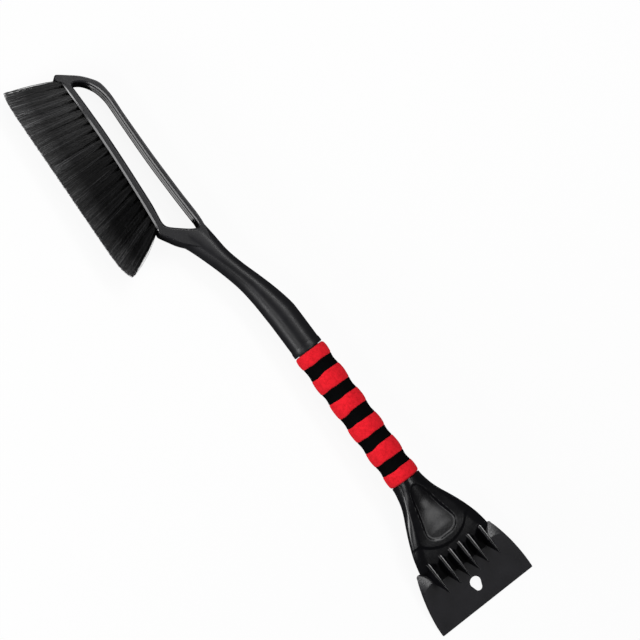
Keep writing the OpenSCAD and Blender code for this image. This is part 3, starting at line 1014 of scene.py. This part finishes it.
@dataclass
class ScraperHead:
    """The head: a flared shell that bends down, its recess and its six claws."""

    bend_x: float = 10.5
    blade_x: float = 85.5
    slope_deg: float = 15.0
    front_x: float = 81.5
    foot_x: float = 100.5
    claw_ys: tuple = (-31.4, -17, -5.6, 5.6, 17, 31.4)
    claw_half: float = 1.3
    post_r: float = 2.5
    pad_centre: float = 38.7
    pad_r: float = 34.8
    pad_step: float = 1.1
    recess_step: float = 0.7
    recess_hollow: float = 2.3
    claw_pitch: float = 11.4
    scoop: float = 3
    body: tuple = (
        (0.6, 10.9, 15.6, 0, 15.6, 4.6, 15.4, 2), (5.5, 11.6, 16, 0, 15.3, 4.5, 15.2, 2),
        (12.5, 13.4, 17.4, 0, 14.3, 4.4, 14.4, 2), (19.5, 16, 19.3, 0.3, 13.3, 4.2, 13.4, 2.1),
        (27.5, 18.8, 22.6, 0.5, 12.1, 3.8, 12.2, 2.2), (36.5, 21.4, 27, 0.6, 11, 3.2, 11.2, 2.4),
        (46.5, 24.3, 31.5, 0.6, 10, 2.6, 10.4, 2.6), (56.5, 27.1, 35.4, 0.5, 9.2, 2, 9.8, 2.9),
        (67.5, 30, 38.9, 0.3, 8.5, 1.4, 9.4, 3.2), (81.5, 33.6, 41.6, 0, 7.8, 1, 9.2, 3.5),
    )
    front: tuple = (
        (84, 33.6, 40.4, -1.5), (87.5, 33.4, 37.2, -3.5), (92.5, 33, 35.2, -4.5), (100.5, 32.2, 33.4, -5),
    )
    recess: tuple = (
        (6.1, 1.5), (7.9, 4.2), (12.5, 7.1), (20.5, 9.5), (35.5, 12.8), (45.5, 15.4), (53.5, 17.1),
        (59, 16.2), (63.5, 12.4), (66.1, 6.5),
    )

    @property
    def slope(self) -> float:
        """Slope of the blade, in radians."""
        return math.radians(self.slope_deg)

    @property
    def bend_r(self) -> float:
        """Radius of the bend."""
        return (self.blade_x - self.bend_x) / math.sin(self.slope)

    @property
    def blade_z(self) -> float:
        """Height of the blade's top where it leaves the body."""
        return self.bend_r * (math.cos(self.slope) - 1) - 3

    def mid_z(self, x: float) -> float:
        """Height of the bent middle surface at x."""
        if x < self.bend_x:
            return 0.0
        if x < self.blade_x:
            return math.sqrt(self.bend_r**2 - (x - self.bend_x) ** 2) - self.bend_r
        return self.blade_z + 3 - (x - self.blade_x) * math.tan(self.slope)

    def blade_top(self, x: float) -> float:
        """Height of the blade's top at x."""
        return self.blade_z - (x - self.blade_x) * math.tan(self.slope)

    def on_blade(self, points: np.ndarray) -> np.ndarray:
        """Places points of the blade's plane, x down the slope, in the tool's frame."""
        c, s = math.cos(self.slope), math.sin(self.slope)
        x, y, z = points[:, 0], points[:, 1], points[:, 2]
        return np.c_[GRIP_LEN + self.blade_x + x * c + z * s, y, self.blade_z - x * s + z * c]

    def rows(self) -> np.ndarray:
        """Returns the body's rows, close together, with those of the front wall."""
        last = self.body[-1]
        rows = list(self.body) + [(*f, *last[4:]) for f in self.front]
        fine = smooth(rows, 16)
        return fine[np.r_[True, np.diff(fine[:, 0]) > 1e-6]]

    def recess_inside(self, x: np.ndarray, y: np.ndarray) -> np.ndarray:
        """Measures how far points lie inside the outline of the recess.

        Args:
            x: Their places along the head.
            y: Their places across it.

        Returns:
            Distances to the outline, positive inside it.
        """
        half = smooth(self.recess, 8)
        outline = np.r_[half, np.c_[half[::-1, 0], -half[::-1, 1]]]
        a, b = outline, np.roll(outline, -1, 0)
        p = np.stack([x, y], -1)[..., None, :]
        t = np.clip(((p - a) * (b - a)).sum(-1) / np.maximum(((b - a) ** 2).sum(-1), 1e-9), 0, 1)
        away = np.sqrt((((a + t[..., None] * (b - a)) - p) ** 2).sum(-1)).min(-1)
        width = np.interp(x, half[:, 0], half[:, 1], left=-9, right=-9)
        return np.where(np.abs(y) < width, away, -away)

    def top_z(self, row: np.ndarray, y: np.ndarray) -> np.ndarray:
        """Draws the top across one row: crown, raised pad, recess and front wall.

        Args:
            row: The body's row.
            y: Places across it.

        Returns:
            Heights at those places.
        """
        x = row[0]
        flat = self.mid_z(x) + row[4] - row[5] * (y / row[1]) ** 2
        wave = np.sin(np.radians(180 * (y - 11.3) / self.claw_pitch)) ** 2
        brink = self.front_x + 1.5 - self.scoop * wave
        u = np.clip((x - brink) / (self.foot_x - brink), 0, 1)
        z = flat + (self.blade_top(x) - flat) * (1 - (1 - u) ** 1.8)
        past = np.hypot(x - self.pad_centre, y) - self.pad_r
        if x <= self.pad_centre:
            past = np.full_like(y, -9)
        z = z + self.pad_step * (0.4 * ease(15, 50, x) - ease(-0.45, 0.45, past)) * (1 - u)
        if 4 < x < 70:
            inside = self.recess_inside(np.full_like(y, x), y)
            step = self.recess_step * ease(6, 34, x) * ease(-0.1, 0.6, inside)
            dip = self.recess_hollow * ease(-4, 27, x) * (1 - 0.9 * ease(30, 58, x))
            z = z - step - dip * ease(0, 2.6, inside)
        return z

    def ring(self, row: np.ndarray) -> np.ndarray:
        """Returns the points round the body at one row, over the top and under."""
        w1, w2 = row[1], row[2]
        zm = self.mid_z(row[0]) + row[3]
        top_y = w1 * np.linspace(1, -1, 121)
        top = np.c_[top_y, self.top_z(row, top_y)]
        crease = top[0]
        turn = np.array([w2, zm + 0.58 * (crease[1] - zm)])
        u = np.linspace(0, 1, 13)[1:, None]
        flank = crease * (1 - u) ** 2 + turn * 2 * u * (1 - u) + np.array([w2, zm]) * u**2
        a = np.linspace(0, math.pi / 2, 19)[1:]
        e = 2 / row[7]
        under = np.c_[w2 * np.cos(a).clip(0) ** e, zm - (row[6] + row[3]) * np.sin(a) ** e]
        right = np.r_[flank, under]
        left = right[:-1] * (-1, 1)
        ring = np.r_[top, left, right[::-1]]
        # The creases are rolled over, as a mould leaves them
        spots = np.r_[-5:6, 115:126]
        for _ in range(9):
            ring[spots] = (ring[spots - 1] + 2 * ring[spots] + ring[spots + 1]) / 4
        return np.c_[np.full(len(ring), row[0] + GRIP_LEN), ring]

    def claw_rows(self) -> np.ndarray:
        """Returns x, height and half width of the crest, height and half width of the foot."""
        h = self.claw_half
        return smooth([(77.1, self.mid_z(77.1) + 7.2, h * 0.7, self.mid_z(77.1), 3),
                       (78.9, 0.7, h, self.mid_z(78.9) - 2, 4),
                       (86.5, 1.9, h, self.blade_top(86.5) - 1, 4.2),
                       (94, 3, h * 0.9, self.blade_top(94) - 1, 3.4),
                       (99.5, 3.5, h * 0.65, self.blade_top(99.5), 2.4),
                       (105, 4.1, h * 0.4, -5.6, 1.5), (111.5, 4.8, 0.16, 4.3, 0.2)], 6)

    def claw(self, y: float) -> Obj:
        """Makes one claw: a rounded crest over flanks that spread to its foot.

        Args:
            y: Where it stands across the head.

        Returns:
            The claw as a solid.
        """
        rings = []
        for x, top, r, foot, foot_w in self.claw_rows():
            r, drop = r * 1.4, top - foot
            crest = r * (1 - np.cos(np.linspace(0, math.pi / 2, 6)) ** 0.7)
            s = np.r_[crest, np.linspace(0, 1, 9)[1:] * (drop - r) + r]
            down = np.clip((s - r) / max(drop - r, 1e-6), 0, 1)
            w = np.where(s < r, r * (1 - (1 - np.minimum(s / r, 1)) ** 2.86) ** 0.35,
                         r + (foot_w - r) * down**0.85)
            s, w, xs = s[1:], w[1:], np.full(len(s) - 1, x)
            rings.append(np.r_[np.c_[xs, y + w[::-1], top - s[::-1]], [[x, y, top]],
                               np.c_[xs, y - w, top - s]])
        return loft("claw", np.array(rings) + (GRIP_LEN, 0, 0))

    def build(self, finish: Material) -> None:
        """Makes the head and dresses it.

        Args:
            finish: The head's plastic.
        """
        body = loft("scraper_head_shell", np.array([self.ring(r) for r in self.rows()]))
        end = GRIP_LEN - SPIGOT_LEN
        spigot = revolve("spigot", [(end, POLE_R), (end, 9.2), (GRIP_LEN - 29.4, SPIGOT_R),
                                    (GRIP_LEN, SPIGOT_R), (GRIP_LEN, CORE_R),
                                    (GRIP_LEN + 4, CORE_R), (GRIP_LEN + 4, POLE_R)])
        shape(body, Cut.ADD, [*(self.claw(y) for y in self.claw_ys), spigot])
        seat = block("seat", (-1.5, -70, -30), (38.5, 70, 0), self.on_blade)
        slot = block("slot", (-28, -30.05, -3.05), (2, 30.05, 0), self.on_blade)
        pin_way = prism("pin_way", [circle(GRIP_LEN - PIN_INSET, 0, PIN_BORE_R)], -17, 17)
        shape(body, Cut.TAKE, [seat, slot, pin_way])
        posts = [prism("post", [circle(POST_X, y, self.post_r)], -4, 1, self.on_blade) for y in POST_YS]
        shape(body, Cut.ADD, posts)
        x, y, z = corners(body).T
        x = x - GRIP_LEN
        rows = self.claw_rows()
        crest = np.interp(x, rows[:, 0], rows[:, 1])
        off = np.min(np.abs(y[:, None] - np.array(self.claw_ys)), axis=1)
        on_crest = (x > 77) & (x < 112) & (np.abs(z - crest) < 0.35) & (off < 1.2)
        store(body.data, "polish", on_crest * np.clip((101 - x) / 16, 0, 1))
        dress(body, finish, "scraper_body", 40)


@dataclass
class ScraperBlade:
    """The blade: tongue, ears, hanging hole and bevelled edge."""

    head: ScraperHead
    width: float = 112.0
    reach: float = 61.5
    thickness: float = 3.0
    edge_t: float = 0.8
    bevel_len: float = 10.0
    post_hole_r: float = 2.55
    hole_inset: float = 24.2
    ear_x: float = 0.6
    ear_polish: float = 0.55
    flare: float = 9.8
    corner: float = 0.6

    def outline(self) -> np.ndarray:
        """Returns the outline in the blade's plane."""
        ear, ear_w = self.ear_x, self.side(self.ear_x)
        corner = smooth([(-1.4, ear_w - 6.4), (-2.9, ear_w - 4.6), (-3.1, ear_w - 2.7),
                         (-1.9, ear_w - 0.9), (ear, ear_w - 0.2), (3.2, self.side(3.2))], 5)[5:-1]
        xs = np.linspace(3.2, self.reach, 40)
        tip = [(self.reach - self.corner, self.width / 2), (self.reach, self.width / 2 - self.corner)]
        half = np.r_[[(-26, 30), (-1.4, 30)], corner, np.c_[xs[:-1], self.side(xs[:-1])], tip]
        return np.r_[half, half[::-1] * (1, -1)]

    def side(self, x: float | np.ndarray) -> float | np.ndarray:
        """Returns the half width of the blade at x."""
        return self.width / 2 - self.flare * (1 - np.asarray(x, float) / self.reach) ** 2

    def hang_hole(self) -> np.ndarray:
        """Returns the egg-shaped outline of the hanging hole."""
        big, small, step = 5.7, 3.8, 5.9
        lean = math.degrees(math.acos((big - small) / step))
        x = self.reach - self.hole_inset
        egg = arc((x, 0), big, lean, 360 - lean, 40) + arc((x + step, 0), small, -lean, lean, 20)
        return np.array(egg)

    def ear_cutter(self, side: int) -> Obj:
        """Makes the solid that is taken off one ear, outside a cone that leaves its crescent.

        Args:
            side: 1 for one ear, -1 for the other.

        Returns:
            The cutter.
        """
        place = self.head.on_blade
        cutter = block("ear", (-6, side * 47 - 16, -4), (23, side * 47 + 16, 1), place)
        a = np.linspace(0, 2 * math.pi, 128, endpoint=False)
        rings = [place(np.c_[25 + r * np.cos(a), side * 37.5 + r * np.sin(a), np.full(128, z)])
                 for r, z in ((64, -10), (4, 2))]
        foot = np.array([(-9, 0), (-9, 42.3), (-3, 42.3), (2, 38.9), (7, 36.4), (15, 34.4), (27, 34),
                         (27, 0)])
        inner = prism("inner", [foot * (1, side)], -10, 10, place)
        return shape(cutter, Cut.TAKE, [loft("cone", np.array(rings)), inner])

    def build(self, finish: Material) -> None:
        """Makes the blade and dresses it.

        Args:
            finish: The blade's plastic.
        """
        place = self.head.on_blade
        posts = [circle(POST_X, y, self.post_hole_r) for y in POST_YS]
        blade = prism("scraper_blade_plate", [self.outline(), *posts], -self.thickness, 0, place)
        turn = math.atan((self.thickness - self.edge_t) / self.bevel_len)

        def under_edge(points: np.ndarray) -> np.ndarray:
            """Places the cutter that bevels the underside of the edge."""
            (x, y, z), c, s = points.T, math.cos(turn), math.sin(turn)
            start = self.reach - self.bevel_len
            return place(np.c_[start + x * c - z * s, y, -self.thickness + x * s + z * c])

        middle = np.array([self.reach - 22.5, 0])
        egg = self.hang_hole() - middle
        hole = loft("hole", np.array([place(np.c_[middle + egg * (1 - 0.08 * z), np.full(len(egg), z)])
                                      for z in (-4.0, 1.0)]))
        bevel = block("bevel", (0, -70, -5), (20, 70, 0), under_edge)
        shape(blade, Cut.TAKE, [hole, bevel, self.ear_cutter(1), self.ear_cutter(-1)])
        soften(blade, 0.35, 2, 12)
        up = LIE.turn(place(np.array([[0, 0, 1.0]])) - place(np.zeros((1, 3))))[0]
        tilts = [(float(np.dot(f.normal, up)), f.area) for f in blade.data.polygons]
        ears = [self.ear_polish * (0.9 < tilt < 0.996 and area > 2e-6) for tilt, area in tilts]
        store(blade.data, "polish", ears, "FACE")
        dress(blade, finish, "scraper_blade", 6)


# ---- studio


@dataclass
class Studio:
    """Pale floor, soft lights and the camera at the photograph's angle."""

    lens_mm: float = 135.0
    distance_mm: float = 2304.0
    lean_deg: float = 12.0
    target: tuple = (-16.767, 26.449, 0.0)
    along: tuple = (0.596915, 0.802304)
    lamp_distance: float = 1.6
    sensor_mm: float = 36
    floor_half: float = 6
    floor_dark: tuple = (0.04, 0.04, 0.042, 1)
    floor_glow: float = 0.92
    ambient: float = 0.07
    lamps: tuple = (
        ("ear_light", (0.32, 0.38, 0.87), (0.22, 0.5), 2.7),
        ("front_light", (0.53, 0.37, 0.77), (0.22, 0.3), 1.3),
        ("crest_light", (-0.34, 0.4, 0.86), (0.25, 0.25), 2.1),
        ("edge_light", (-0.1, -0.54, 0.84), (1.2, 0.3), 6),
        ("upper_strip", (-0.3, 0.69, 0.72), (1.5, 0.3), 15),
        ("lower_strip", (-0.27, -0.88, 0.46), (0.95, 0.4), 19),
    )

    def axes(self) -> tuple[np.ndarray, np.ndarray, np.ndarray]:
        """Returns the camera's right, up and back in the tool's frame."""
        s, c = math.sin(math.radians(self.lean_deg)), math.cos(math.radians(self.lean_deg))
        u0, u1 = self.along
        ex, ev, back = np.array([1, 0, 0.0]), np.array([0, c, s]), np.array([0, -s, c])
        return u0 * ex + u1 * ev, -(u1 * ex - u0 * ev), back

    def camera(self) -> None:
        """Makes the camera."""
        right, up, back = (LIE.turn(v) for v in self.axes())
        at = LIE.to_row(np.array(self.target)) + back * self.distance_mm / 1000
        data = bpy.data.cameras.new("camera")
        data.lens = self.lens_mm
        data.sensor_width = self.sensor_mm
        data.sensor_fit = "HORIZONTAL"
        bpy.context.scene.camera = hung("camera", data, [right, up, back, at])

    def lamp(self, name: str, towards: Row, size: tuple[float, float], power: float) -> None:
        """Hangs an area lamp that faces the middle of the tool.

        Args:
            name: Its name.
            towards: Where it hangs: along the grip, across it and towards the camera.
            size: Its length along the grip and its width, in metres.
            power: Its power, in watts.
        """
        back = self.axes()[2]
        along, across = np.array([1, 0, 0.0]), np.cross(back, (1, 0, 0))
        d = towards[0] * along + towards[1] * across + towards[2] * back
        d = d / np.linalg.norm(d)
        side = np.cross(d, np.cross(along, d))
        side = side / np.linalg.norm(side)
        data = bpy.data.lights.new(name, "AREA")
        data.shape = "RECTANGLE"
        data.size, data.size_y = size
        data.energy = power
        columns = (side, np.cross(d, side), d, d * self.lamp_distance)
        hung(name, data, [LIE.turn(v) for v in columns])

    def floor(self) -> None:
        """Lays the pale floor, which is dark to all rays but the camera's."""
        mesh = bpy.data.meshes.new("floor")
        s = self.floor_half
        mesh.from_pydata([(-s, -s, 0), (s, -s, 0), (s, s, 0), (-s, s, 0)], [], [[0, 1, 2, 3]])
        t = Nodes("floor")
        pale = t.ramp(t.speckle(3, 2), [(0.0, (0.8,) * 3), (1.0, (0.84,) * 3)])
        seen = t.get("ShaderNodeLightPath", "Is Camera Ray")
        colour = t.get("ShaderNodeMix", 2, {"Factor": seen, 6: self.floor_dark, 7: pale},
                       data_type="RGBA")
        t.feed(t.shader, {"Base Color": colour, "Roughness": 0.9})
        glow = t.get("ShaderNodeEmission", "Emission", {"Strength": 1.0})
        mixed = t.get("ShaderNodeMixShader", "Shader", {
            0: t.product(seen, self.floor_glow), 1: t.shader.outputs["BSDF"], 2: glow})
        t.feed(t.out, {"Surface": mixed})
        mesh.materials.append(t.material)
        linked("floor", mesh)

    def world(self) -> None:
        """Sets the soft light that comes from everywhere."""
        world = bpy.data.worlds.new("studio")
        bpy.context.scene.world = world
        world.use_nodes = True
        t = Tree(world.node_tree)
        seen = t.get("ShaderNodeLightPath", "Is Camera Ray")
        level = t.get("ShaderNodeMapRange", "Result", {
            "Value": seen, "To Min": self.ambient, "To Max": 1.0})
        t.feed(t.tree.nodes["Background"], {"Strength": level, "Color": (1, 1, 1, 1)})

    def build(self) -> None:
        """Sets up the whole studio."""
        self.camera()
        self.floor()
        self.world()
        for lamp in self.lamps:
            self.lamp(*lamp)
        bpy.context.scene.view_settings.view_transform = "Standard"
        log.info("studio: camera, floor and %d lamps", len(self.lamps))


def dress_hidden(steel: Material, tube: Material) -> None:
    """Gives the metal pieces inside the tool their finish."""
    for node in ("tuft_anchors", "neck_pin", "head_pin", "handle_tube"):
        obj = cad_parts[node]
        obj.data.materials.clear()
        obj.data.materials.append(tube if node == "handle_tube" else steel)
        log.info("%s: CAD piece with its metal finish", node)


def main() -> None:
    """Builds every piece in order."""
    logging.basicConfig(level=logging.INFO, format="%(message)s")
    BrushFrame().build(FRAME_PLASTIC.build())
    bristles = BRISTLES.build()
    for row in range(1, 5):
        BristleRow(row).build(bristles)
    FoamGrip().build(RED_FOAM.build(), BLACK_FOAM.build())
    head = ScraperHead()
    head.build(HEAD_PLASTIC.build())
    ScraperBlade(head).build(BLADE_PLASTIC.build())
    dress_hidden(STEEL.build(), TUBE.build())
    Studio().build()


if __name__ == "__main__":
    main()
